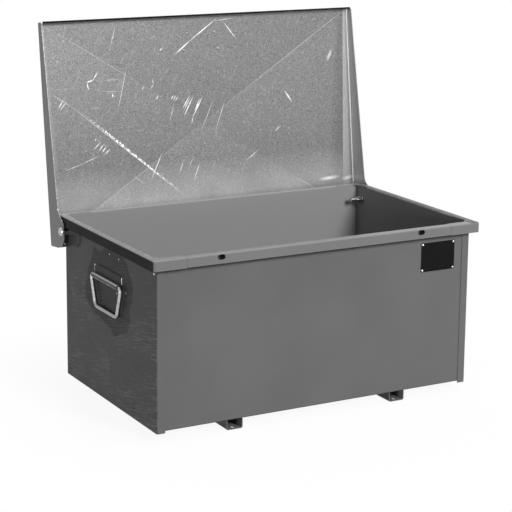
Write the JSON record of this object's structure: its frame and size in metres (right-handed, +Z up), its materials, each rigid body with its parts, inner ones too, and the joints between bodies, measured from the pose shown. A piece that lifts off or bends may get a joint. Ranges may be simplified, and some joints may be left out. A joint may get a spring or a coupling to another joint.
{
  "type": "jobsite storage box",
  "caption": "Folded sheet-steel site box with a cross-broken lid open on side pivots, padlock slots, drop handles on the ends and bolt-down foot channels.",
  "frame": {"origin": "on the floor, at the centre of the four bolt holes in the foot channels", "axes": "+X to the right along the box's length, +Y to the rear, +Z up; the lid stands open on its stop"},
  "size_m": [0.9594, 0.7072, 0.9505],
  "materials": {
    "grey_paint": "satin grey powder coat, inside and outside",
    "galvanised_sheet": "dull galvanised sheet with fine spangle and scratches",
    "zinc_plate": "bright zinc plate",
    "black_rubber": "matt black",
    "black_plate": "black anodised, satin, left bare"
  },
  "bodies": {
    "box": {"floor_panel": "grey_paint", "front_left_rim_corner": "grey_paint", "front_panel": "grey_paint", "front_right_rim_corner": "grey_paint", "left_foot_channel": "grey_paint", "left_handle_strap": "grey_paint", "left_hinge_plate": "grey_paint", "left_pivot_bolt": "zinc_plate", "left_pivot_nut": "zinc_plate", "left_pivot_spacer": "zinc_plate", "left_pivot_washer": "zinc_plate", "left_side_panel": "grey_paint", "rating_plate": "black_plate", "rating_plate_rivets": "zinc_plate", "rear_left_rim_corner": "grey_paint", "rear_panel": "grey_paint", "rear_right_rim_corner": "grey_paint", "right_foot_channel": "grey_paint", "right_handle_strap": "grey_paint", "right_hinge_plate": "grey_paint", "right_pivot_bolt": "zinc_plate", "right_pivot_nut": "zinc_plate", "right_pivot_spacer": "zinc_plate", "right_pivot_washer": "zinc_plate", "right_side_panel": "grey_paint"},
    "lid": {"lid_panel": "galvanised_sheet", "lid_edge_trim": "black_rubber", "lid_pull_handle": "grey_paint", "lid_handle_rivets": "zinc_plate"},
    "left_bail": {"left_handle_bail": "zinc_plate"},
    "right_bail": {"right_handle_bail": "zinc_plate"}
  },
  "joints": [
    {"name": "lid_hinge", "type": "hinge", "parent": "box", "child": "lid", "pos_m": [0, 0.245, 0.416], "axis": [1, 0, 0], "range_deg": [0, 100.6]},
    {"name": "left_bail_hinge", "type": "hinge", "parent": "box", "child": "left_bail", "pos_m": [-0.45758, 0, 0.339], "axis": [0, 1, 0], "range_deg": [0, 170]},
    {"name": "right_bail_hinge", "type": "hinge", "parent": "box", "child": "right_bail", "pos_m": [0.45758, 0, 0.339], "axis": [0, -1, 0], "range_deg": [0, 170]}
  ]
}
